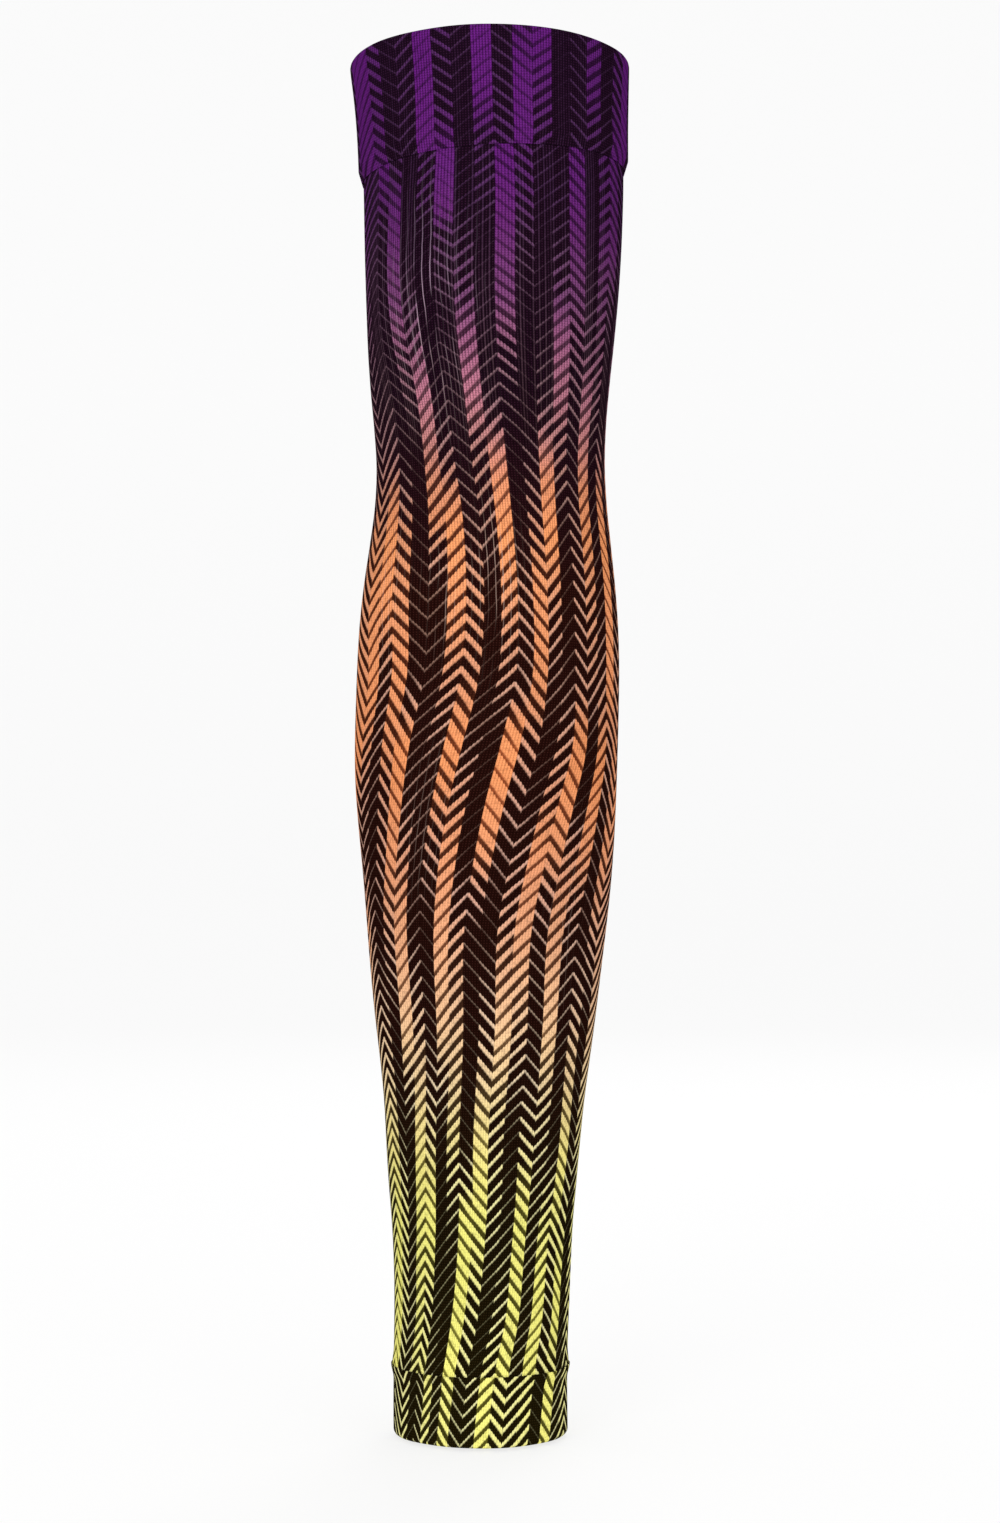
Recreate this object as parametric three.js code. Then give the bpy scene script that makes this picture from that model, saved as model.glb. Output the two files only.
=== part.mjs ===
// Arm compression sleeve: a seamless knitted tube shaped to an arm, with a folded
// welt that grips the upper arm and a narrower welt at the wrist.
// Millimetres. +Z runs up the arm, +X is the viewer's right and the front faces -Y.
// The origin is the centre of the upper opening, level with its rim.

import * as THREE from "three";

// Sizes over all, each width from side to side of the knit
const sleeveLength = 430;
const mouthWidth = 86.2;
const upperArmWidth = 82.8;
const elbowWidth = 72.4;
const forearmWidth = 83.2;
const wristWidth = 54;

// Knit and welts
const knitThickness = 1.2;
const layerGap = 0.3; // clearance between a welt and the tube end that it holds
const upperWeltHeight = 36;
const upperWeltSlant = 4; // the welt's lower edge is this much higher on the right
const slantReach = 62; // the slant has died out at this distance below that edge
const wristWeltHeight = 21.4;
const lapDepth = 8; // how far each welt laps over the end of the tube
const lipStand = 0.8; // how far the wrist welt's upper edge curls out
const lipHeight = 2.6; // and over what height
const tuckHeight = 3; // where the tube narrows to pass inside the wrist welt

// Fineness of the mesh
const sides = 60;
const ringSpacing = 13;
const rimSteps = 6;
const edgeSteps = 3;

// The arm's form from the upper rim, along 0, to the wrist rim, along 1.
// width is from side to side, and depth is front to back as a share of the width.
// sway moves the centre to the right and bow moves it back, as shares of the length.
const armSections = [
  { along: 0.0, width: mouthWidth, depth: 0.99, sway: 0.0, bow: 0.0 },
  { along: 0.045, width: 0.97 * mouthWidth, depth: 0.99, sway: 0.0017, bow: 0.0012 },
  { along: 0.09, width: upperArmWidth, depth: 0.99, sway: 0.0026, bow: 0.0025 },
  { along: 0.17, width: 0.972 * upperArmWidth, depth: 1.0, sway: 0.0012, bow: 0.0056 },
  { along: 0.215, width: 0.942 * upperArmWidth, depth: 1.01, sway: 0.0006, bow: 0.0074 },
  { along: 0.26, width: 1.03 * elbowWidth, depth: 1.03, sway: 0.0004, bow: 0.009 },
  { along: 0.295, width: elbowWidth, depth: 1.04, sway: 0.0004, bow: 0.0098 },
  { along: 0.325, width: 1.016 * elbowWidth, depth: 1.03, sway: 0.0004, bow: 0.0098 },
  { along: 0.37, width: 0.942 * forearmWidth, depth: 1.0, sway: 0.0001, bow: 0.009 },
  { along: 0.415, width: 0.985 * forearmWidth, depth: 0.98, sway: -0.0007, bow: 0.0077 },
  { along: 0.47, width: forearmWidth, depth: 0.965, sway: -0.0017, bow: 0.0058 },
  { along: 0.525, width: 0.996 * forearmWidth, depth: 0.96, sway: -0.0025, bow: 0.0035 },
  { along: 0.59, width: 0.95 * forearmWidth, depth: 0.955, sway: -0.0026, bow: 0.0007 },
  { along: 0.68, width: 0.857 * forearmWidth, depth: 0.945, sway: -0.0026, bow: -0.0035 },
  { along: 0.765, width: 1.155 * wristWidth, depth: 0.94, sway: -0.0038, bow: -0.0072 },
  { along: 0.81, width: 1.1 * wristWidth, depth: 0.935, sway: -0.0048, bow: -0.0088 },
  { along: 0.855, width: 1.036 * wristWidth, depth: 0.93, sway: -0.0058, bow: -0.0101 },
  { along: 0.935, width: wristWidth, depth: 0.93, sway: -0.0063, bow: -0.0116 },
  { along: 1.0, width: wristWidth, depth: 0.93, sway: -0.0063, bow: -0.0121 },
];

// Levels are measured from the upper rim, and offsets outwards from the tube's face.
const upperWeltEdge = -upperWeltHeight;
const tubeTop = upperWeltEdge + lapDepth;
const wristRim = -sleeveLength;
const wristWeltEdge = wristRim + wristWeltHeight;
const tubeBottom = wristWeltEdge - lapDepth;
const upperWeltOutside = layerGap + knitThickness;
const tubeInside = -knitThickness;
const tuckedOutside = tubeInside - layerGap;
const tuckedInside = tuckedOutside - knitThickness;

const armForm = new THREE.CubicInterpolant(
  armSections.map((row) => row.along),
  armSections.flatMap((row) => [row.width, row.depth, row.sway, row.bow]),
  4,
);

// How far the slant of the upper welt's edge lifts the right side at a level.
function slantAt(level) {
  const reach = level > upperWeltEdge ? upperWeltHeight : slantReach;
  const share = 1 - Math.abs(level - upperWeltEdge) / reach;
  return (upperWeltSlant / 2) * Math.max(0, share);
}

// The point of a ring at a turn about the arm, counted from the right by way of the back.
function ringPoint({ level, offset }, turn) {
  const z = level + slantAt(level) * Math.cos(turn);
  const along = THREE.MathUtils.clamp(-z / sleeveLength, 0, 1);
  const [width, depth, sway, bow] = armForm.evaluate(along);
  return [
    sway * sleeveLength + (width / 2 + offset) * Math.cos(turn),
    bow * sleeveLength + ((width * depth) / 2 + offset) * Math.sin(turn),
    z,
  ];
}

// A rounded edge of the knit as rings in a half circle from one offset to the other.
// It turns outwards-in at an upper edge and inwards-out at a lower one.
function roundedEdge(fromOffset, toOffset, crownLevel, steps) {
  const middle = (fromOffset + toOffset) / 2;
  const reach = (fromOffset - toOffset) / 2;
  return Array.from({ length: steps + 1 }, (_, i) => {
    const turn = (Math.PI * i) / steps;
    return {
      offset: middle + reach * Math.cos(turn),
      level: crownLevel - reach * (1 - Math.sin(turn)),
    };
  });
}

// Adds rings to a closed loop where two neighbours are far apart.
function refined(loop) {
  return loop.flatMap((ring, i) => {
    const next = loop[(i + 1) % loop.length];
    const steps = Math.max(1, Math.round(Math.abs(next.level - ring.level) / ringSpacing));
    return Array.from({ length: steps }, (_, k) => ({
      offset: THREE.MathUtils.lerp(ring.offset, next.offset, k / steps),
      level: THREE.MathUtils.lerp(ring.level, next.level, k / steps),
    }));
  });
}

// The closed wall round the arm whose section is a loop of rings.
// The loop runs up the outside and down the inside, so the faces point out.
function wallGeometry(loop) {
  const rings = refined(loop);
  const positions = rings.flatMap((ring) =>
    Array.from({ length: sides }, (_, i) => ringPoint(ring, (2 * Math.PI * i) / sides)).flat(),
  );
  const indices = rings.flatMap((_, ring) => {
    const here = ring * sides;
    const there = ((ring + 1) % rings.length) * sides;
    return Array.from({ length: sides }, (_, i) => {
      const next = (i + 1) % sides;
      return [here + i, here + next, there + next, here + i, there + next, there + i];
    }).flat();
  });
  const geometry = new THREE.BufferGeometry();
  geometry.setAttribute("position", new THREE.Float32BufferAttribute(positions, 3));
  geometry.setIndex(indices);
  geometry.computeVertexNormals();
  return geometry;
}

// The folded welt at the upper arm has two layers up to its rounded rim.
// Below its shoulder only the outer layer goes on, over the end of the tube.
function upperWelt() {
  const shoulder = tubeTop + layerGap;
  return wallGeometry([
    ...roundedEdge(upperWeltOutside, tubeInside, 0, rimSteps),
    { offset: tubeInside, level: shoulder },
    { offset: layerGap, level: shoulder },
    ...roundedEdge(layerGap, upperWeltOutside, upperWeltEdge, edgeSteps),
  ]);
}

// The knitted tube is one layer, drawn in at its lower end to pass inside the wrist welt.
function sleeveTube() {
  const tuckTop = wristWeltEdge + tuckHeight;
  return wallGeometry([
    { offset: tuckedOutside, level: tubeBottom },
    { offset: tuckedOutside, level: wristWeltEdge },
    { offset: 0, level: tuckTop },
    { offset: 0, level: tubeTop },
    { offset: tubeInside, level: tubeTop },
    { offset: tubeInside, level: tuckTop },
    { offset: tuckedInside, level: wristWeltEdge },
    { offset: tuckedInside, level: tubeBottom },
  ]);
}

// The welt at the wrist has two layers down to its rounded rim, and its upper edge curls out.
function wristWelt() {
  const shoulder = tubeBottom - layerGap;
  const lipFoot = wristWeltEdge - lipHeight;
  return wallGeometry([
    ...roundedEdge(tuckedInside, 0, wristRim, rimSteps),
    { offset: 0, level: lipFoot },
    ...roundedEdge(lipStand, lipStand - knitThickness, wristWeltEdge, edgeSteps),
    { offset: tubeInside, level: lipFoot },
    { offset: tubeInside, level: shoulder },
    { offset: tuckedInside, level: shoulder },
  ]);
}

function piece(name, geometry, color) {
  const material = new THREE.MeshStandardMaterial({ color, roughness: 0.85, metalness: 0 });
  const mesh = new THREE.Mesh(geometry, material);
  mesh.name = name;
  return mesh;
}

const sleeve = new THREE.Group();
sleeve.add(
  piece("upper_arm_welt", upperWelt(), 0x54196b),
  piece("sleeve_tube", sleeveTube(), 0xb5683f),
  piece("wrist_welt", wristWelt(), 0xa9a847),
);

export default sleeve;
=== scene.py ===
"""Arm compression sleeve: the knit's shape, print and texture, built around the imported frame.

Metres, in the frame's own axes: +Z up the arm, +X to the right, the front faces -Y.
"""

import math

import bpy
import numpy as np
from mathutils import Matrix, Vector
from mathutils.bvhtree import BVHTree


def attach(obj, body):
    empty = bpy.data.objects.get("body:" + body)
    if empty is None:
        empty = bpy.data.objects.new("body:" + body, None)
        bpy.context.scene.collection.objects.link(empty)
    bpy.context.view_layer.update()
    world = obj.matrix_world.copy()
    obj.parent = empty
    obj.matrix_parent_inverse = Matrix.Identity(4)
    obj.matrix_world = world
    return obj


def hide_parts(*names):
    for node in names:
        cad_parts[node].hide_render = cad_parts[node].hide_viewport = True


MM = 0.001

# The knit and its welts, as in the solids
KNIT = 1.2 * MM
LAYER_GAP = 0.3 * MM
WELT_STAND = LAYER_GAP + KNIT
LAP = 8 * MM
UPPER_WELT_HEIGHT = 36 * MM
SLANT = 2 * MM  # the upper welt's edge is this much higher at the right, and lower at the left
SLANT_REACH = 62 * MM
WRIST_WELT_HEIGHT = 21.4 * MM
LIP_STAND = 0.8 * MM
LIP_HEIGHT = 2.6 * MM

# Finer forms at the welts' edges, which the solids leave out
EDGE_KNIT = 0.35 * MM  # the layer is thinner at a welt's open edge
EDGE_GAP = 0.06 * MM
HEM_TAPER = 4 * MM
CURL_HEIGHT = 4.5 * MM
BULGE_STAND = 0.4 * MM  # the tube swells a little above the wrist welt
BULGE_HEIGHT = 5 * MM
CURVE_SHARES = (0.25, 0.5, 0.75)  # where rings lie on the swell and on the curl

# Where the solids are measured, from the foot up: how far inside each piece's lower and
# upper edge, at how many heights, and how far its face stands off the tube's
MEASURED = (
    ("wrist_welt", 2 * MM, 4 * MM, 3, 0.0),
    ("sleeve_tube", 5 * MM, 4 * MM, 30, 0.0),
    ("upper_arm_welt", 6 * MM, 2 * MM, 4, WELT_STAND),
)
RAY_START = 0.3  # metres from the arm's axis

# The print is a herringbone of upright strips, whose strokes rise to the right or fall.
# Strips are numbered from the middle of the back, by way of the left, and 20 is at the front.
STRIPS = 40
HOME_SHIFT = 0.25  # strips by which strip 20 starts right of the middle of the front
STROKE_RISE = 1.1  # pitches that a stroke rises or falls over one strip
RISING = (1, 2, 5, 8, 11, 12, 15, 16, 18, 19, 22, 23, 25, 26, 29, 30, 33, 36, 38, 39)

# How far these strips lie right of home, in strips, down the sleeve from 0 at the upper rim
# to 1 at the wrist
SWAY_STATIONS = (12, 16, 20, 24, 28)
SWAY = (
    (0.000, 0.0, 0.1, -0.2, -0.55, -0.5),
    (0.084, 0.05, 0.05, -0.2, -0.5, -0.45),
    (0.110, 0.05, -0.08, -0.15, -0.4, -0.3),
    (0.207, 0.0, 0.0, 0.0, 0.0, 0.0),
    (0.255, 0.6, 0.5, 0.25, 0.2, 0.0),
    (0.303, 1.2, 0.9, 0.6, 0.25, -0.1),
    (0.347, 1.35, 1.45, 0.9, 0.2, -0.3),
    (0.402, 1.4, 1.75, 1.15, 0.2, -0.5),
    (0.457, 1.8, 1.6, 1.1, 0.2, -0.4),
    (0.510, 1.1, 0.83, 0.38, 0.06, -0.25),
    (0.547, 0.75, 0.3, -0.25, -0.57, -0.75),
    (0.583, 0.5, -0.2, -0.76, -1.14, -1.14),
    (0.637, -0.45, -0.65, -1.35, -1.84, -1.9),
    (0.711, -0.7, -0.75, -1.5, -1.84, -1.9),
    (0.784, -0.9, -1.0, -1.78, -1.97, -1.6),
    (0.837, -0.7, -1.14, -1.78, -1.97, -1.9),
    (0.874, -0.8, -1.27, -1.97, -2.15, -2.1),
    (0.910, -1.0, -1.35, -2.35, -2.45, -2.4),
    (0.947, -1.5, -2.0, -2.95, -3.2, -3.05),
    (1.000, -1.8, -2.6, -3.6, -3.8, -3.7),
)

# Pitch, the height from one stroke to the next, down the sleeve
PITCH = (
    (0.0, 4.1 * MM),
    (0.16, 4.1 * MM),
    (0.25, 4.5 * MM),
    (0.33, 5.1 * MM),
    (0.42, 5.3 * MM),
    (0.56, 5.3 * MM),
    (0.66, 4.9 * MM),
    (0.80, 4.6 * MM),
    (1.0, 4.4 * MM),
)

# Ink in each strip, from 0 for nearly all colour to 9 for nearly all dark, down each piece
FULL_INK = 9
CHARTS = {
    "upper_arm_welt": (
        (0.000, "9418538172" "6114860570" "7319739416" "2592739517"),
        (0.040, "9418538172" "6124861681" "6139738417" "2592739517"),
        (0.090, "8428638163" "5323771295" "4159667228" "2582648427"),
    ),
    "sleeve_tube": (
        (0.085, "9417935819" "4552695085" "2478394358" "1592739517"),
        (0.120, "9417935819" "4454295086" "1487294368" "1592739517"),
        (0.147, "8526827829" "6467199569" "1697293268" "2681836428"),
        (0.207, "7635718748" "8698359838" "3982464794" "3772825339"),
        (0.255, "6743629657" "6778628827" "7973635993" "4863914258"),
        (0.303, "4852538567" "6558935852" "9725829482" "5954823167"),
        (0.347, "2961447477" "3414932761" "9518628183" "6845732086"),
        (0.402, "1870356384" "4213882493" "5249648184" "7736641195"),
        (0.457, "2789265293" "3162884495" "7278656156" "8627550284"),
        (0.510, "3698174182" "2473187179" "0595192536" "8518469373"),
        (0.547, "4587283271" "5685178349" "0684191742" "7429378462"),
        (0.583, "5476392360" "7795148529" "2761242824" "6338287551"),
        (0.637, "6385481459" "3369418914" "8941726844" "5247196640"),
        (0.711, "7294570548" "4455914823" "9514818493" "4156285739"),
        (0.784, "8183669637" "5523891493" "9159569184" "3265374828"),
        (0.837, "7292758726" "6642482197" "2268274359" "4374463917"),
        (0.910, "6381847815" "7731573589" "1596281719" "5483552806"),
        (0.955, "5470936904" "8621674379" "1594272458" "6592641795"),
    ),
    "wrist_welt": (
        (0.945, "5470936904" "8776659737" "3862454927" "5592641795"),
        (1.000, "6381847813" "7786559748" "3772454927" "5683552806"),
    ),
}

# Where the strokes of each piece start, in pitches
STROKE_START = {"upper_arm_welt": 0.45, "sleeve_tube": 0.0, "wrist_welt": 0.3}

# Colours down the sleeve: the ground, strokes in strips full of ink, the ink, and the ink
# lightened by a painted highlight on the crests of its loops
GROUND = (
    (0.000, "#621d77"),
    (0.100, "#632075"),
    (0.140, "#692971"),
    (0.190, "#82457a"),
    (0.220, "#a45f85"),
    (0.260, "#c47a8c"),
    (0.290, "#d28882"),
    (0.320, "#ea956c"),
    (0.360, "#f59c64"),
    (0.410, "#f39d6a"),
    (0.530, "#ed9560"),
    (0.600, "#ec9e72"),
    (0.650, "#f0ae82"),
    (0.700, "#f3c294"),
    (0.745, "#f3d29a"),
    (0.775, "#f2dc90"),
    (0.810, "#f3e784"),
    (0.850, "#f5f07f"),
    (1.000, "#f4ee7f"),
)
PALE_STROKES = (
    (0.00, "#4c2e52"),
    (0.12, "#503256"),
    (0.20, "#745468"),
    (0.30, "#a07e7c"),
    (0.40, "#d0a08a"),
    (0.62, "#d2a694"),
    (0.74, "#e2ccac"),
    (0.82, "#ebe4aa"),
    (1.00, "#efeaac"),
)
INK = (
    (0.00, "#150815"),
    (0.25, "#13070f"),
    (0.40, "#1b0806"),
    (0.70, "#180805"),
    (0.85, "#110b03"),
    (1.00, "#140f03"),
)
INK_CREST_HIGHLIGHTS = (
    (0.00, "#3c1a3a"),
    (0.25, "#38192f"),
    (0.40, "#44221c"),
    (0.70, "#3a1c18"),
    (0.85, "#332616"),
    (1.00, "#352a14"),
)
PALE_YARN = ((0.15, "#c4a4c2"), (0.35, "#d8b6a6"))  # where the knit is stretched
INSIDE_YARN = "#d8d2cf"

# Stitches: wales are the columns of loops, and courses their rows down the sleeve
COURSES = 560
LOOP_SHARE = 0.3  # of the relief that is the loops', the rest being the wale's
STITCH_RELIEF = 0.12 * MM
RELIEF_STRENGTH = 0.5
GAP_HEIGHTS = (0.05, 0.75)  # over which a stitch's gap, painted shade on the outside, gives way to yarn
CREST_HIGHLIGHT_HEIGHTS = (0.6, 1.0)  # over which ink turns to its painted highlight on a crest
# How strongly the painted highlight lightens ink on a crest
CREST_HIGHLIGHT_SHARE = 0.6
ROUGHNESS = 0.68
ROUGHNESS_SPREAD = 0.12

# Strokes: their height as a share of the pitch by the strip's ink, and its change down the sleeve
STROKE_SHARES = (
    (0, 0.88),
    (0.11, 0.79),
    (0.22, 0.68),
    (0.33, 0.56),
    (0.56, 0.36),
    (0.78, 0.21),
    (1, 0.11),
)
THINNING = ((0, 1.0), (0.4, 0.99), (0.53, 0.93), (0.78, 0.9), (0.88, 0.92), (1, 0.94))
EDGE_SOFTNESS = 0.09
WALE_STEP = 0.07  # by which a stroke's edges step at each wale
WANDER_SCALE = 260.0
WANDER = 0.12

# By the strip's ink, above the elbow and below it: how strong its strokes are, and how dark
# the lines between them
ELBOW_ZONE = (0.22, 0.4)
UPPER_STRENGTH = ((0, 1.0), (0.67, 0.95), (0.78, 0.75), (0.89, 0.5), (1, 0.2))
LOWER_STRENGTH = ((0, 1.0), (0.67, 0.92), (0.78, 0.68), (0.89, 0.34), (1, 0.12))
UPPER_DEPTH = ((0, 0.4), (0.11, 0.55), (0.22, 0.75), (0.45, 1.0))
LOWER_DEPTH = ((0, 0.65), (0.11, 0.8), (0.22, 0.92), (0.45, 1.0))
DEEPENING = 0.6
PALING = (0.15, 0.85)  # the ink over which strokes turn from the ground's colour to pale

# How much painted shade darkens the gaps between stitches down the sleeve
GAP_SHADE_STRENGTH = ((0, 0.75), (0.25, 0.65), (0.38, 0.42), (0.7, 0.3), (1, 0.25))

# Unevenness of the colours: broad patches of the ground, paler wales, and darker stitches
PATCH_SCALE = 22.0
PATCH_RANGE = (0.35, 0.75)
PATCH_SHADE = (0.86, 0.86, 0.88, 1)
STREAK_SCALE = 90.0
STREAK_STRETCH = (1, 1, 0.25)
STREAK_BY_WALE = 0.6
STREAK_BY_PLACE = 0.4
STREAK_RANGE = (0.4, 0.7)
STREAK_CORE = (0.6, 0.95)
STREAK_SHARES = ((0, 0.08), (0.07, 0.1), (0.1, 0.26), (0.2, 0.2), (0.3, 0.0))
SPECKLE_SCALE = 1100.0
SPECKLE_RANGE = (0.5, 0.75)
SPECKLE = (0.78, 0.78, 0.78, 1)

# Ladders of pale yarn between wales that are drawn apart
LADDERS_PER_STRIP = 2.2
LADDER_EDGE = (0.02, 0.08)
LADDER_BEND = 0.4
LADDER_BEND_SCALE = 45.0
LADDER_EVENNESS = 0.4
LADDER_BREAK_SCALE = 120.0
LADDER_BREAK_STRETCH = (1.5, 1.5, 0.25)
LADDER_BREAK_RANGE = (0.34, 0.54)

# How much of the print shows through on the inner face, and how much more in the gaps
GHOST = 0.25
GHOST_IN_GAPS = 0.2

# Stretched places: how far down, at which strip, reach down and in strips, and strength
STRETCHED = (
    (0.20, 16.6, 0.06, 1.9, 0.7),
    (0.38, 18.6, 0.045, 1.1, 0.75),
    (0.40, 15.8, 0.03, 0.8, 0.35),
    (0.39, 12.6, 0.04, 0.7, 0.5),
    (0.56, 17.0, 0.04, 1.2, 0.2),
    (0.62, 26.0, 0.06, 1.0, 0.12),
    (0.22, 35.0, 0.08, 2.5, 0.45),
    (0.45, 3.0, 0.07, 2.0, 0.4),
)

# Slight unevenness of the worn knit: height, waves round the arm, turn down the sleeve, start
WAVES = (
    (0.16 * MM, 3, 25, 0.4),
    (0.13 * MM, -5, 44, 1.9),
    (0.09 * MM, 9, -17, 3.1),
)

# Fineness of the meshes, and their map
COLUMNS_PER_STRIP = 4
OUTSIDE_SPACING = 2 * MM
INSIDE_SPACING = 5 * MM
ARC_STEPS = 8
PITCH_STEPS = 400  # in which the strokes down the sleeve are added up
OUTER_SHARE = 0.86  # of the height of the map of a wall laid flat

# Camera, as for the photograph, whose picture is 1000 by 1523 pixels
PHOTO_HEIGHT = 1523
FOCAL_PIXELS = 2584
SENSOR = 36
CAMERA_PLACE = (0.0032, -0.815, -0.2567)
CAMERA_TILT = math.radians(2.455)

# Stage, in metres
FLOOR_GAP = 1 * MM
FLOOR_COLOUR = "#808080"
FLOOR_ROUGHNESS = 0.9
FLOOR_GLOW = 0.76
STAGE_RADIUS = 3.0
STAGE_FLAT_RADIUS = 1.0
STAGE_BEND = 0.9
STAGE_BEND_STEPS = 12
STAGE_HEIGHT = 4.0
STAGE_SIDES = 96

# Round lights: place, with its height from the sleeve's middle, then size and power
LIGHTS = (
    ("key", (-0.7, -1.7, 0.5), 1.2, 14),
    ("fill", (0.9, -1.5, 0.1), 1.2, 7),
    ("back", (0.3, 1.2, 1.2), 1.0, 8),
)
WORLD_LIGHT = 0.5


def linear(hex_colour):
    """A colour such as #a1507c as linear red, green, blue and alpha."""
    values = [int(hex_colour[i : i + 2], 16) / 255 for i in (1, 3, 5)]
    light = [v / 12.92 if v < 0.04045 else ((v + 0.055) / 1.055) ** 2.4 for v in values]
    return (*light, 1.0)


def smooth(x, knots, values):
    """A smooth curve through values at knots, for any array x."""
    knots = np.asarray(knots, float)
    values = np.asarray(values, float)
    slopes = np.gradient(values, knots, axis=0)
    x = np.clip(x, knots[0], knots[-1])
    i = np.clip(np.searchsorted(knots, x, side="right") - 1, 0, len(knots) - 2)
    step = knots[i + 1] - knots[i]
    t = (x - knots[i]) / step
    if values.ndim > 1:
        step = step[..., None]
        t = t[..., None]
    start = (1 + 2 * t) * (1 - t) ** 2 * values[i] + t * (1 - t) ** 2 * step * slopes[i]
    end = t**2 * (3 - 2 * t) * values[i + 1] + t**2 * (t - 1) * step * slopes[i + 1]
    return start + end


class Form:
    """The outer face of the tube, measured on the solids: an ellipse at every height."""

    def __init__(self, nodes):
        self.trees = {name: self.tree_of(node) for name, node in nodes.items()}
        self.top = max(v.co.z for v in nodes["upper_arm_welt"].data.vertices)
        self.bottom = min(v.co.z for v in nodes["wrist_welt"].data.vertices)
        self.length = self.top - self.bottom
        self.welt_edge = self.top - UPPER_WELT_HEIGHT
        self.wrist_edge = self.bottom + WRIST_WELT_HEIGHT
        self.rows = self.measure()

    @staticmethod
    def tree_of(node):
        mesh = node.data
        return BVHTree.FromPolygons([v.co for v in mesh.vertices], [p.vertices for p in mesh.polygons])

    def ellipse(self, name, z):
        """Centre and half sizes of a piece's outer face at a height.

        Rays find its front and back, then its sides level with the middle between them, and
        then front and back again through the middle of the sides.
        """
        centre = [0.0, 0.0]
        half = [0.0, 0.0]
        for axis in (1, 0, 1):
            hits = []
            for side in (-1, 1):
                start = Vector((*centre, z))
                start[axis] += side * RAY_START
                way = Vector((0, 0, 0))
                way[axis] = -side
                hits.append(self.trees[name].ray_cast(start, way)[0][axis])
            centre[axis] = sum(hits) / 2
            half[axis] = (hits[1] - hits[0]) / 2
        return centre[0], centre[1], half[0], half[1]

    def measure(self):
        """Rows of height, centre and half sizes, from the foot up."""
        edges = (self.bottom, self.wrist_edge, self.welt_edge, self.top)
        rows = []
        for low, high, (name, above, below, count, stand) in zip(edges, edges[1:], MEASURED):
            for z in np.linspace(low + above, high - below, count):
                x, y, width, depth = self.ellipse(name, z)
                rows.append((z, x, y, width - stand, depth - stand))
        return np.array(rows)

    def along(self, z):
        return np.clip((self.top - z) / self.length, 0, 1)

    def slanted(self, level, angle):
        """The height of a ring at each angle: the right side is lifted near the upper welt's edge."""
        reach = np.where(level > self.welt_edge, self.top - self.welt_edge, SLANT_REACH)
        share = np.clip(1 - np.abs(level - self.welt_edge) / reach, 0, 1)
        return level + SLANT * share * np.sin(angle)

    def points(self, z, angle, offset):
        """Points at a height and an angle from the front, standing off the tube's face by an offset."""
        ellipse = smooth(z, self.rows[:, 0], self.rows[:, 1:])
        down = self.along(z)
        waves = sum(
            amount * np.sin(round_arm * angle + turns * down + start)
            for amount, round_arm, turns, start in WAVES
        )
        offset = offset + waves
        x = ellipse[..., 0] + (ellipse[..., 2] + offset) * np.sin(angle)
        y = ellipse[..., 1] - (ellipse[..., 3] + offset) * np.cos(angle)
        return np.stack([x, y, z], axis=-1)


def sway_at(strip, along):
    """How far a strip lies right of its home, in strips."""
    table = np.array(SWAY)
    stations = smooth(along, table[:, 0], table[:, 1:])
    back = (stations[..., 0] + stations[..., -1]) / 2
    knots = (0, *SWAY_STATIONS, STRIPS)
    values = np.concatenate([back[..., None], stations, back[..., None]], axis=-1)
    result = np.empty(np.broadcast(strip, along).shape)
    for index in np.ndindex(result.shape[:-1]):
        result[index] = smooth(strip[index], knots, values[index][0])
    return result


def stroke_rise():
    """How far the strokes have risen at each strip's start, in pitches. It closes round the arm."""
    steps = [STROKE_RISE if strip in RISING else -STROKE_RISE for strip in range(STRIPS)]
    return np.concatenate([[0], np.cumsum(steps)])


def strokes_down(along, length):
    """How many strokes lie above a place down the sleeve."""
    fine = np.linspace(0, 1, PITCH_STEPS)
    pitch = smooth(fine, [row[0] for row in PITCH], [row[1] for row in PITCH])
    count = np.concatenate([[0], np.cumsum(length / pitch[1:] * np.diff(fine))])
    return np.interp(along, fine, count)


def stretch_at(strip, along):
    """How far the knit is drawn open, from 0 to 1."""
    result = np.zeros(strip.shape)
    for down, middle, reach, strips, strength in STRETCHED:
        distance = ((along - down) / reach) ** 2 + ((strip - middle) / strips) ** 2
        result = np.maximum(result, strength * np.exp(-distance))
    return result


def ink_at(chart, strip, along):
    """Ink of strips at places down the sleeve, from 0 to 1."""
    table = np.array([[int(digit) for digit in inks] for _, inks in chart]) / FULL_INK
    places = [row[0] for row in chart]
    result = np.empty(np.broadcast(strip, along).shape)
    for i in range(STRIPS):
        here = strip == i
        result[here] = np.interp(along[here], places, table[:, i])
    return result


def arc(from_offset, to_offset, crown):
    """Rings of level and offset that turn over an upper edge, or under a lower one."""
    middle = (from_offset + to_offset) / 2
    reach = (from_offset - to_offset) / 2
    turns = np.linspace(0, math.pi, ARC_STEPS + 1)
    return [(crown - reach * (1 - math.sin(t)), middle + reach * math.cos(t)) for t in turns]


def run(start, end, spacing):
    """Rings between two ends, which are left out."""
    steps = max(1, round(abs(end[0] - start[0]) / spacing))
    return [tuple(np.array(start) + (np.array(end) - start) * i / steps) for i in range(1, steps)]


def lay_rings(form, loop):
    """Heights and points of a loop of rings, in columns that sway with the print's strips."""
    columns = STRIPS * COLUMNS_PER_STRIP
    levels, offsets = np.array(loop).T[:, :, None]
    levels = np.broadcast_to(levels, (len(loop), columns))
    strips = np.broadcast_to(np.arange(columns) / COLUMNS_PER_STRIP, levels.shape)
    swayed = strips + sway_at(strips, form.along(levels))
    angles = (swayed - STRIPS / 2 + HOME_SHIFT) * 2 * math.pi / STRIPS
    heights = form.slanted(levels, angles)
    return heights, form.points(heights, angles, offsets)


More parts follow.
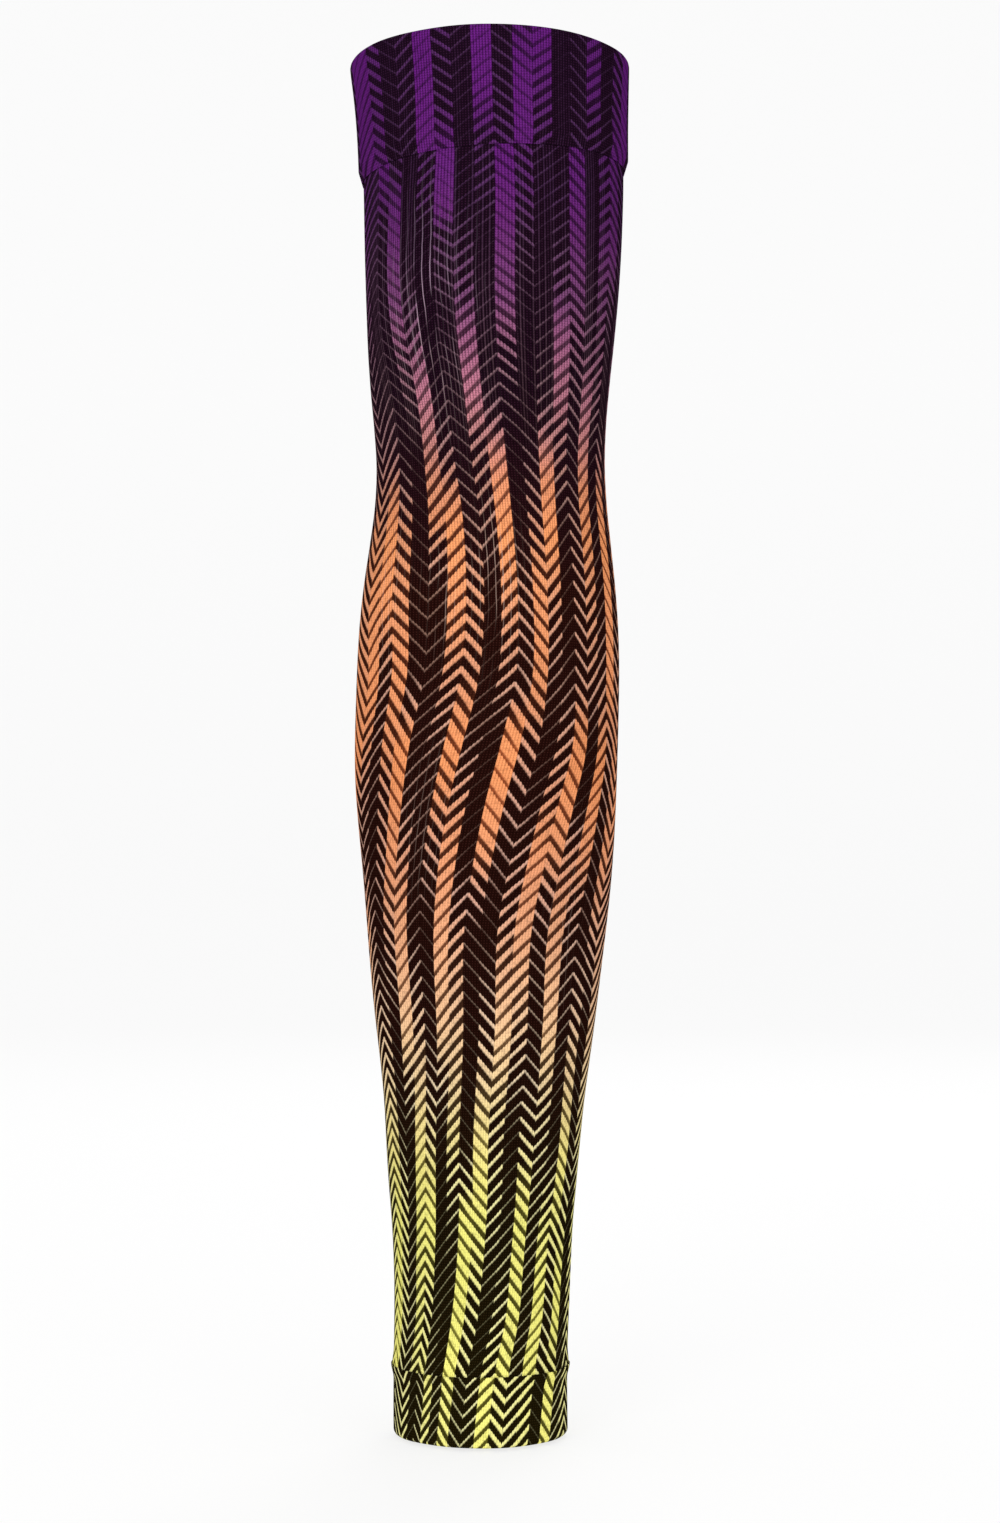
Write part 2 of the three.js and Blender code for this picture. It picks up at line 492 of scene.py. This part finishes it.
def closed_wall(name, form, outside, upper_edge, inside, lower_edge):
    """A closed wall round the arm, with the print's measures on the corners of its faces.

    Its loop of rings runs up the outside, over the upper edge, down the inside and under the
    lower edge. Each ring is a level and an offset.
    """
    loop = [*outside, *upper_edge, *inside, *lower_edge]
    heights, points = lay_rings(form, loop)
    rows, columns = heights.shape
    row, column = np.indices(heights.shape)
    corner_rows = np.stack([row, row, row + 1, row + 1], axis=-1)
    corner_columns = np.stack([column, column + 1, column + 1, column], axis=-1)
    ring = corner_rows % rows
    place = corner_columns % columns

    mesh = bpy.data.meshes.new(name)
    faces = (ring * columns + place).reshape(-1, 4)
    mesh.from_pydata(points.reshape(-1, 3).tolist(), [], faces.tolist())
    mesh.shade_smooth()

    strip = corner_columns / COLUMNS_PER_STRIP
    strip_of_face = np.broadcast_to((column // COLUMNS_PER_STRIP)[..., None], strip.shape)
    along = form.along(heights)[ring, place]
    rise = np.interp(strip, np.arange(STRIPS + 1), stroke_rise())
    outer_rows = len(outside) + len(upper_edge)
    inner_rings = np.zeros(rows)
    inner_rings[outer_rows : rows - len(lower_edge)] = 1
    measures = {
        "along": along,
        "strip": strip,
        "stroke": strokes_down(along, form.length) + rise + STROKE_START[name],
        "ink": ink_at(CHARTS[name], strip_of_face, along),
        "stretch": stretch_at(strip, along),
        "inside": inner_rings[ring],
    }
    for key, values in measures.items():
        layer = mesh.attributes.new(key, "FLOAT", "CORNER")
        layer.data.foreach_set("value", values.reshape(-1).astype(np.float32))
    unroll(mesh, strip / STRIPS, corner_rows, outer_rows, rows)
    return mesh


def unroll(mesh, across, rows, outer_rows, all_rows):
    """A map of the wall laid flat, with most of its height for the outer face."""
    down = np.where(
        rows <= outer_rows,
        rows / outer_rows * OUTER_SHARE,
        OUTER_SHARE + (rows - outer_rows) / (all_rows - outer_rows) * (1 - OUTER_SHARE),
    )
    layer = mesh.uv_layers.new(name="OFBake")
    layer.data.foreach_set("uv", np.stack([across, down], axis=-1).reshape(-1).astype(np.float32))


def upper_welt(form):
    """Two layers up to the rounded rim, with one layer on below the shoulder, over the tube's end."""
    shoulder = form.welt_edge + LAP + LAYER_GAP
    rim = arc(WELT_STAND, -KNIT, form.top)
    hem = arc(EDGE_GAP, EDGE_GAP + EDGE_KNIT, form.welt_edge)
    taper_top = (form.welt_edge + HEM_TAPER, WELT_STAND)
    taper = run(hem[-1], taper_top, OUTSIDE_SPACING)
    outside = [*taper, taper_top, *run(taper_top, rim[0], OUTSIDE_SPACING)]
    steps = [(shoulder, -KNIT), (shoulder, LAYER_GAP)]
    inside = [*run(rim[-1], steps[0], INSIDE_SPACING), *steps]
    return closed_wall("upper_arm_welt", form, outside, rim, inside, hem)


def sleeve_tube(form):
    """One layer, which swells a little above the wrist welt and is drawn in to pass inside it."""
    tube_top = form.welt_edge + LAP
    tube_foot = form.wrist_edge - LAP
    lip_foot = form.wrist_edge - LIP_HEIGHT
    tucked = -KNIT - LAYER_GAP
    swell_top = (form.wrist_edge + BULGE_HEIGHT, 0.0)
    swell_foot = LIP_STAND - EDGE_KNIT - EDGE_GAP
    outside = [(lip_foot, tucked), (form.wrist_edge, swell_foot)]
    for share in CURVE_SHARES:
        stand = BULGE_STAND * (1 + math.cos(math.pi * share)) / 2
        outside.append((form.wrist_edge + share * BULGE_HEIGHT, stand))
    outside += [swell_top, *run(swell_top, (tube_top, 0.0), OUTSIDE_SPACING)]
    inside = [
        *run((tube_top, -KNIT), (form.wrist_edge, -KNIT), INSIDE_SPACING),
        (form.wrist_edge, -KNIT),
        (lip_foot, tucked - KNIT),
    ]
    upper_edge = [(tube_top, 0.0), (tube_top, -KNIT)]
    lower_edge = [(tube_foot, tucked - KNIT), (tube_foot, tucked)]
    return closed_wall("sleeve_tube", form, outside, upper_edge, inside, lower_edge)


def wrist_welt(form):
    """Two layers down to the rounded rim, with an upper edge that curls out."""
    inner = -2 * KNIT - LAYER_GAP
    lip_foot = form.wrist_edge - LIP_HEIGHT
    shoulder = form.wrist_edge - LAP - LAYER_GAP
    rim = arc(inner, 0.0, form.bottom)
    lip = arc(LIP_STAND, LIP_STAND - EDGE_KNIT, form.wrist_edge)
    curl_foot = (form.wrist_edge - CURL_HEIGHT, 0.0)
    outside = [*run(rim[-1], curl_foot, OUTSIDE_SPACING), curl_foot]
    for share in CURVE_SHARES:
        stand = LIP_STAND * (1 - math.cos(math.pi * share)) / 2
        outside.append((form.wrist_edge - (1 - share) * CURL_HEIGHT, stand))
    inside = [
        (lip_foot, -KNIT),
        (shoulder, -KNIT),
        (shoulder, inner),
        *run((shoulder, inner), rim[0], INSIDE_SPACING),
    ]
    return closed_wall("wrist_welt", form, outside, lip, inside, rim)


class Shader:
    """Short calls that add shader nodes to a material and join them."""

    def __init__(self, name):
        self.material = bpy.data.materials.new(name)
        self.material.use_nodes = True
        self.tree = self.material.node_tree
        self.surface = self.tree.nodes["Principled BSDF"]

    def put(self, kind, inputs, **settings):
        node = self.tree.nodes.new(kind)
        for key, value in settings.items():
            setattr(node, key, value)
        for key, value in inputs.items():
            if isinstance(value, bpy.types.NodeSocket):
                self.tree.links.new(value, node.inputs[key])
            else:
                node.inputs[key].default_value = value
        return node

    def measure(self, name):
        return self.put("ShaderNodeAttribute", {}, attribute_name=name).outputs["Fac"]

    def maths(self, operation, *values):
        return self.put("ShaderNodeMath", dict(enumerate(values)), operation=operation).outputs[0]

    def step(self, value, low, high):
        """Rises smoothly from 0 to 1 as value goes from low to high."""
        inputs = {"Value": value, "From Min": low, "From Max": high}
        return self.put("ShaderNodeMapRange", inputs, interpolation_type="SMOOTHSTEP").outputs[0]

    def mix(self, share, a, b, blend="MIX"):
        """Colour a turned to b by a share. A mix of colours takes them at inputs 0, 6 and 7."""
        node = self.put("ShaderNodeMix", {}, data_type="RGBA", blend_type=blend)
        for socket, value in zip((node.inputs[0], node.inputs[6], node.inputs[7]), (share, a, b)):
            if isinstance(value, bpy.types.NodeSocket):
                self.tree.links.new(value, socket)
            else:
                socket.default_value = value
        return node.outputs[2]

    def ramp(self, value, stops):
        """Colours or numbers along value, from a list of places and what is there."""
        node = self.put("ShaderNodeValToRGB", {"Fac": value})
        elements = node.color_ramp.elements
        while len(elements) < len(stops):
            elements.new(0.5)
        for element, (place, look) in zip(elements, stops):
            element.position = place
            element.color = linear(look) if isinstance(look, str) else (look, look, look, 1)
        return node.outputs["Color"]

    def noise(self, place, scale, detail=2.0, stretch=(1, 1, 1)):
        mapping = self.put("ShaderNodeMapping", {"Vector": place, "Scale": stretch})
        inputs = {"Vector": mapping.outputs[0], "Scale": scale, "Detail": detail}
        return self.put("ShaderNodeTexNoise", inputs).outputs["Fac"]


class Knit(Shader):
    """Printed fine-gauge knit: a herringbone of dark ink on a ground that fades down the sleeve.

    Each method works out one measure or one layer of the look and returns it. Layers that
    take a colour go over it.
    """

    def __init__(self, name, wales_per_strip):
        super().__init__(name)
        self.along = self.measure("along")
        self.strip = self.measure("strip")
        self.ink = self.measure("ink")
        self.place = self.put("ShaderNodeTexCoord", {}).outputs["Object"]
        self.wander = self.noise(self.place, WANDER_SCALE)
        self.wales = self.maths("MULTIPLY", self.strip, wales_per_strip)
        self.rib, self.height = self.stitches()
        # Gaps beside stitches: painted shade on the outer face, and more of the print on the inner
        self.gap = self.maths("SUBTRACT", 1.0, self.step(self.height, *GAP_HEIGHTS))
        self.ground = self.faded_ground()
        self.pale = self.ramp(self.along, PALE_STROKES)
        # The ink, with a painted highlight on the crests of its loops
        self.dark = self.ink_with_crest_highlights()

    def stitches(self):
        """Height across a wale alone, and with the loops in it."""
        wale = self.maths("FRACT", self.wales)
        from_middle = self.maths("ABSOLUTE", self.maths("SUBTRACT", wale, 0.5))
        course = self.maths("MULTIPLY_ADD", self.along, COURSES, from_middle)
        loop = self.maths("SINE", self.maths("MULTIPLY", course, 2 * math.pi))
        rib = self.maths("SINE", self.maths("MULTIPLY", wale, math.pi))
        loops = self.maths("MULTIPLY_ADD", loop, LOOP_SHARE, 1 - LOOP_SHARE)
        return rib, self.maths("MULTIPLY", rib, loops)

    def faded_ground(self):
        """The ground's colour down the sleeve, a little uneven."""
        ground = self.ramp(self.along, GROUND)
        shaded = self.mix(1.0, ground, PATCH_SHADE, "MULTIPLY")
        patches = self.step(self.noise(self.place, PATCH_SCALE), *PATCH_RANGE)
        return self.mix(patches, ground, shaded)

    def ink_with_crest_highlights(self):
        """The ink's colour, lightened by a painted highlight on the crests of the loops."""
        crest = self.maths("MULTIPLY", self.step(self.height, *CREST_HIGHLIGHT_HEIGHTS), CREST_HIGHLIGHT_SHARE)
        return self.mix(crest, self.ramp(self.along, INK), self.ramp(self.along, INK_CREST_HIGHLIGHTS))

    def strokes(self):
        """1 on the strokes, and 0 on the ink between them."""
        wobble = self.maths("MULTIPLY", self.maths("SUBTRACT", self.wander, 0.5), WANDER)
        stepped = self.maths("MULTIPLY_ADD", self.rib, WALE_STEP, wobble)
        down = self.maths("FRACT", self.maths("ADD", self.measure("stroke"), stepped))
        thinning = self.ramp(self.along, THINNING)
        width = self.maths("MULTIPLY", self.ramp(self.ink, STROKE_SHARES), thinning)
        above = self.step(down, 0.0, EDGE_SOFTNESS)
        below = self.step(self.maths("SUBTRACT", down, width), -EDGE_SOFTNESS, EDGE_SOFTNESS)
        return self.maths("MULTIPLY", above, self.maths("SUBTRACT", 1.0, below))

    def by_zone(self, upper, lower):
        """A number by the strip's ink, from one table above the elbow and another below it."""
        zone = self.step(self.along, *ELBOW_ZONE)
        return self.mix(zone, self.ramp(self.ink, upper), self.ramp(self.ink, lower))

    def herringbone(self):
        """The strokes and the lines between them, which in bright strips are only a deeper tone."""
        stroke = self.mix(self.step(self.ink, *PALING), self.ground, self.pale)
        stroke = self.mix(self.by_zone(UPPER_STRENGTH, LOWER_STRENGTH), self.dark, stroke)
        deepening = self.maths("MULTIPLY", self.step(self.along, *ELBOW_ZONE), DEEPENING)
        squared = self.mix(1.0, self.ground, self.ground, "MULTIPLY")
        deeper = self.mix(deepening, self.ground, squared)
        line = self.mix(self.by_zone(UPPER_DEPTH, LOWER_DEPTH), deeper, self.dark)
        return self.mix(self.strokes(), line, stroke)

    def gap_shade(self, below):
        """Painted shade in the gaps between stitches, as a fine dark mesh, more so where the knit is
        open.
        """
        gap_shade_strength = self.ramp(self.along, GAP_SHADE_STRENGTH)
        return self.mix(self.maths("MULTIPLY", self.gap, gap_shade_strength), below, self.dark)

    def chance(self, value):
        """One steady random number for each whole number that value passes."""
        inputs = {"W": self.maths("FLOOR", value)}
        return self.put("ShaderNodeTexWhiteNoise", inputs, noise_dimensions="1D").outputs["Value"]

    def streaks(self, below):
        """Some wales show paler down a stretch of the upper sleeve."""
        by_place = self.noise(self.place, STREAK_SCALE, stretch=STREAK_STRETCH)
        by_place = self.maths("MULTIPLY", by_place, STREAK_BY_PLACE)
        paler = self.maths("MULTIPLY_ADD", self.chance(self.wales), STREAK_BY_WALE, by_place)
        core = self.step(self.rib, *STREAK_CORE)
        streak = self.maths("MULTIPLY", self.step(paler, *STREAK_RANGE), core)
        share = self.maths("MULTIPLY", streak, self.ramp(self.along, STREAK_SHARES))
        return self.mix(share, below, self.pale)

    def speckle(self, below):
        """Single stitches are a little darker."""
        spots = self.step(self.noise(self.place, SPECKLE_SCALE, detail=0.0), *SPECKLE_RANGE)
        return self.mix(spots, below, self.mix(1.0, below, SPECKLE, "MULTIPLY"))

    def ladders(self, below):
        """Pale yarn shows through between some wales where the knit is stretched."""
        bend = self.noise(self.place, LADDER_BEND_SCALE)
        bent = self.maths("MULTIPLY_ADD", bend, LADDER_BEND, self.strip)
        across = self.maths("MULTIPLY", bent, LADDERS_PER_STRIP)
        middle = self.maths("SUBTRACT", self.maths("FRACT", across), 0.5)
        off_ladder = self.step(self.maths("ABSOLUTE", middle), *LADDER_EDGE)
        weight = self.maths("POWER", self.chance(across), LADDER_EVENNESS)
        ladder = self.maths("MULTIPLY", self.maths("SUBTRACT", 1.0, off_ladder), weight)
        breaks = self.noise(self.place, LADDER_BREAK_SCALE, stretch=LADDER_BREAK_STRETCH)
        broken = self.maths("MULTIPLY", ladder, self.step(breaks, *LADDER_BREAK_RANGE))
        shown = self.maths("MULTIPLY", broken, self.measure("stretch"))
        return self.mix(shown, below, self.ramp(self.along, PALE_YARN))

    def inner_side(self, printed):
        """On the inner face, pale yarn with the print showing through faintly."""
        ghost = self.maths("MULTIPLY_ADD", self.gap, GHOST_IN_GAPS, GHOST)
        inner = self.mix(ghost, linear(INSIDE_YARN), printed)
        return self.mix(self.measure("inside"), printed, inner)

    def finish(self):
        """The material, with all its layers and the relief of its stitches."""
        outer = self.ladders(self.speckle(self.streaks(self.gap_shade(self.herringbone()))))
        relief = {"Height": self.height, "Strength": RELIEF_STRENGTH, "Distance": STITCH_RELIEF}
        bump = self.put("ShaderNodeBump", relief)
        rough = self.maths("MULTIPLY_ADD", self.wander, ROUGHNESS_SPREAD, ROUGHNESS)
        self.tree.links.new(self.inner_side(outer), self.surface.inputs["Base Color"])
        self.tree.links.new(bump.outputs["Normal"], self.surface.inputs["Normal"])
        self.tree.links.new(rough, self.surface.inputs["Roughness"])
        self.surface.inputs["Specular IOR Level"].default_value = 0.0
        return self.material


def place_piece(mesh, node, slot, wales_per_strip):
    mesh.materials.append(Knit(slot, wales_per_strip).finish())
    piece = bpy.data.objects.new(node + "_knit", mesh)
    bpy.context.scene.collection.objects.link(piece)
    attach(piece, "root")
    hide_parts(node)


def floor_paint():
    """Grey with a white glow, which together look as bright as the photograph's background."""
    paint = Shader("floor_paint")
    inputs = paint.surface.inputs
    inputs["Base Color"].default_value = linear(FLOOR_COLOUR)
    inputs["Roughness"].default_value = FLOOR_ROUGHNESS
    inputs["Specular IOR Level"].default_value = 0.0
    inputs["Emission Color"].default_value = (1, 1, 1, 1)
    inputs["Emission Strength"].default_value = FLOOR_GLOW
    return paint.material


def stage(floor_height):
    """A round floor that curves up into a wall on every side."""
    turns = np.linspace(0, math.pi / 2, STAGE_BEND_STEPS + 1)
    profile = [(STAGE_FLAT_RADIUS, floor_height)]
    for turn in turns:
        radius = STAGE_RADIUS - STAGE_BEND * (1 - math.sin(turn))
        profile.append((radius, floor_height + STAGE_BEND * (1 - math.cos(turn))))
    profile.append((STAGE_RADIUS, floor_height + STAGE_HEIGHT))
    angles = np.arange(STAGE_SIDES) * 2 * math.pi / STAGE_SIDES
    points = [(r * math.cos(a), r * math.sin(a), z) for r, z in profile for a in angles]
    faces = [tuple(range(STAGE_SIDES))]
    for ring in range(len(profile) - 1):
        for side in range(STAGE_SIDES):
            here = ring * STAGE_SIDES + side
            beside = ring * STAGE_SIDES + (side + 1) % STAGE_SIDES
            faces.append((here, here + STAGE_SIDES, beside + STAGE_SIDES, beside))
    mesh = bpy.data.meshes.new("floor")
    mesh.from_pydata(points, [], faces)
    mesh.shade_smooth()
    mesh.materials.append(floor_paint())
    floor = bpy.data.objects.new("floor", mesh)
    bpy.context.scene.collection.objects.link(floor)


def add_light(name, place, target, size, power):
    data = bpy.data.lights.new(name, "AREA")
    data.shape = "DISK"
    data.size = size
    data.energy = power
    light = bpy.data.objects.new(name, data)
    light.location = place
    light.rotation_euler = (Vector(target) - Vector(place)).to_track_quat("-Z", "Y").to_euler()
    bpy.context.scene.collection.objects.link(light)


def light_up(middle):
    for name, (x, y, height), size, power in LIGHTS:
        add_light(name, (x, y, middle + height), (0, 0, middle), size, power)
    world = bpy.data.worlds.new("studio")
    world.use_nodes = True
    world.node_tree.nodes["Background"].inputs["Color"].default_value = (1, 1, 1, 1)
    world.node_tree.nodes["Background"].inputs["Strength"].default_value = WORLD_LIGHT
    bpy.context.scene.world = world
    bpy.context.scene.view_settings.view_transform = "Standard"


def add_camera():
    data = bpy.data.cameras.new("camera")
    data.sensor_width = SENSOR
    data.lens = FOCAL_PIXELS / PHOTO_HEIGHT * SENSOR
    camera = bpy.data.objects.new("camera", data)
    camera.location = CAMERA_PLACE
    camera.rotation_euler = (math.pi / 2 + CAMERA_TILT, 0, 0)
    bpy.context.scene.collection.objects.link(camera)
    bpy.context.scene.camera = camera


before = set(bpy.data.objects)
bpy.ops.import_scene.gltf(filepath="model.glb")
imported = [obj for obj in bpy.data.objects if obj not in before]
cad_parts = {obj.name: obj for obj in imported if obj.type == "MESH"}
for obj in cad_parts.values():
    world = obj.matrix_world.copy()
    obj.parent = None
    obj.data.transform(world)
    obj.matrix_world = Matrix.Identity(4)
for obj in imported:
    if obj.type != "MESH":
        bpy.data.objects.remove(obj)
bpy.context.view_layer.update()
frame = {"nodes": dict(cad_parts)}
form = Form(frame["nodes"])

place_piece(upper_welt(form), "upper_arm_welt", "upper_knit", wales_per_strip=7)
place_piece(sleeve_tube(form), "sleeve_tube", "sleeve_knit", wales_per_strip=6)
place_piece(wrist_welt(form), "wrist_welt", "wrist_knit", wales_per_strip=6)

stage(form.bottom - FLOOR_GAP)
light_up((form.top + form.bottom) / 2)
add_camera()
